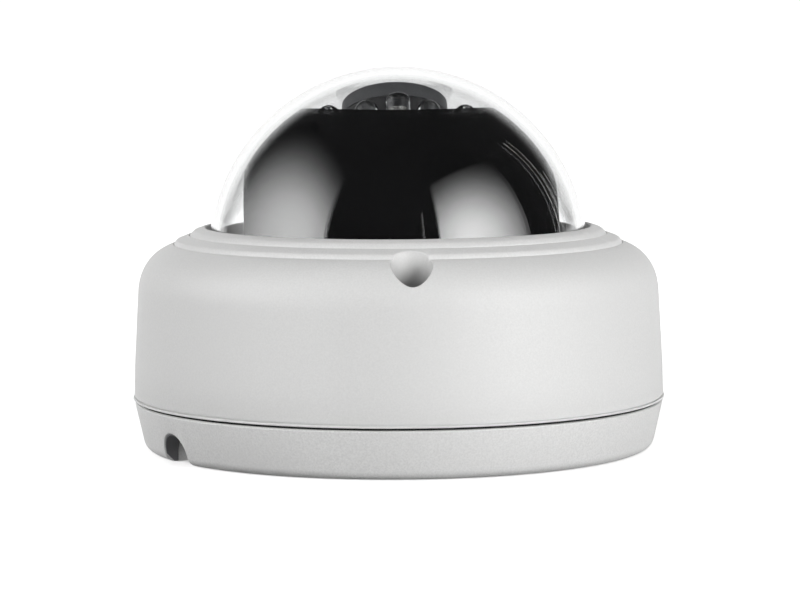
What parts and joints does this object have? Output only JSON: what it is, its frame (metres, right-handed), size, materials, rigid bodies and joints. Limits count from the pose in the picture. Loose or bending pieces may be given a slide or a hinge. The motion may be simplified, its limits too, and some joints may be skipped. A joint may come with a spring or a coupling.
{
  "type": "dome cctv camera",
  "caption": "Compact vandal-resistant dome security camera: cast base and cover, clear bubble, and a three-axis camera head with infrared lamps inside.",
  "frame": {"origin": "centre of the base's underside, on the surface the camera is fixed to", "axes": "+Z out of the mounting surface through the middle of the bubble, -Y towards the cover screw that sits nearest the front"},
  "size_m": [0.1108, 0.1108, 0.0791],
  "materials": {
    "white_casting": "fine-grained white powder coat over a die casting",
    "clear_dome": "clear polished polycarbonate",
    "black_gloss": "polished black moulding",
    "black_satin": "satin black moulding",
    "grey_moulding": "fine-textured dark grey moulding",
    "seal_rubber": "matt black rubber",
    "steel": "plain stainless steel",
    "alloy": "plain light metal",
    "board_green": "green solder mask",
    "board_black": "black solder mask",
    "header_white": "natural white nylon",
    "lens_glass": "coated optical glass",
    "lamp_clear": "clear cast epoxy"
  },
  "bodies": {
    "base": {"base_housing": "white_casting", "base_gasket": "seal_rubber", "cable_grommet": "seal_rubber", "main_board": "board_green", "main_chip": "board_black", "network_header": "header_white", "power_header": "header_white", "card_slot": "alloy", "reset_switch": "alloy", "gimbal_seat": "grey_moulding", "pan_retainer": "grey_moulding", "board_screw_1": "steel", "board_screw_2": "steel", "board_screw_3": "steel", "seat_screw_1": "steel", "seat_screw_2": "steel", "seat_screw_3": "steel"},
    "cover": {"dome_cover": "white_casting", "clear_bubble": "clear_dome", "bubble_gasket": "seal_rubber", "clamp_ring": "grey_moulding", "clamp_screw_1": "steel", "clamp_screw_2": "steel", "clamp_screw_3": "steel"},
    "cover_screw_1": {"cover_screw_1": "steel"},
    "cover_screw_2": {"cover_screw_2": "steel"},
    "cover_screw_3": {"cover_screw_3": "steel"},
    "pan_stage": {"pan_ring": "black_satin", "yoke": "grey_moulding", "shroud": "black_gloss", "yoke_screw_right": "steel", "yoke_screw_left": "steel"},
    "tilt_stage": {"tilt_ring": "black_satin", "pivot_screw_right": "steel", "pivot_screw_left": "steel"},
    "camera_module": {"module_housing": "black_satin", "roll_retainer": "black_satin", "sensor_board": "board_green", "image_sensor": "board_black", "heat_sink": "alloy", "lens_holder": "black_satin", "led_bracket": "black_satin", "led_board": "board_black", "lens_hood": "black_satin", "hood_cap": "grey_moulding", "infrared_lamp_1": "lamp_clear", "infrared_lamp_2": "lamp_clear", "infrared_lamp_3": "lamp_clear", "infrared_lamp_4": "lamp_clear", "infrared_lamp_5": "lamp_clear", "infrared_lamp_6": "lamp_clear", "infrared_lamp_7": "lamp_clear", "infrared_lamp_8": "lamp_clear", "light_sensor": "lamp_clear"},
    "focus_lens": {"lens_barrel": "black_satin", "front_lens": "lens_glass", "rear_lens": "lens_glass"},
    "night_filter": {"filter_slide": "lens_glass"},
    "reset_key": {"reset_cap": "black_satin"},
    "storage_card": {"memory_card": "black_satin"}
  },
  "joints": [
    {"name": "cover_lift", "type": "slide", "parent": "base", "child": "cover", "axis": [0, 0, 1], "range_m": [0, 0.085]},
    {"name": "cover_screw_1_rise", "type": "slide", "parent": "cover", "child": "cover_screw_1", "axis": [0, 0, 1], "range_m": [0, 0.006]},
    {"name": "cover_screw_2_rise", "type": "slide", "parent": "cover", "child": "cover_screw_2", "axis": [0, 0, 1], "range_m": [0, 0.006]},
    {"name": "cover_screw_3_rise", "type": "slide", "parent": "cover", "child": "cover_screw_3", "axis": [0, 0, 1], "range_m": [0, 0.006]},
    {"name": "head_pan", "type": "hinge", "parent": "base", "child": "pan_stage", "pos_m": [0, 0, 0.0396], "axis": [0, 0, 1], "range_deg": [-175, 175]},
    {"name": "head_tilt", "type": "hinge", "parent": "pan_stage", "child": "tilt_stage", "pos_m": [0, 0, 0.0396], "axis": [-0.999, -0.0436, 0], "range_deg": [-24.5, 40.5]},
    {"name": "head_roll", "type": "hinge", "parent": "tilt_stage", "child": "camera_module", "pos_m": [0, 0, 0.0396], "axis": [-0.0181, 0.4143, 0.91], "range_deg": [-90, 90]},
    {"name": "focus_turn", "type": "hinge", "parent": "camera_module", "child": "focus_lens", "pos_m": [0, 0, 0.0396], "axis": [-0.0181, 0.4143, 0.91], "range_deg": [-120, 120]},
    {"name": "filter_shift", "type": "slide", "parent": "camera_module", "child": "night_filter", "axis": [-0.999, -0.0436, 0], "range_m": [0, 0.0055]},
    {"name": "reset_press", "type": "slide", "parent": "base", "child": "reset_key", "axis": [0, 0, -1], "range_m": [0, 0.0005], "stiffness_N_per_m": 300},
    {"name": "card_pull", "type": "slide", "parent": "base", "child": "storage_card", "axis": [0.454, 0.891, 0], "range_m": [0, 0.012]}
  ]
}
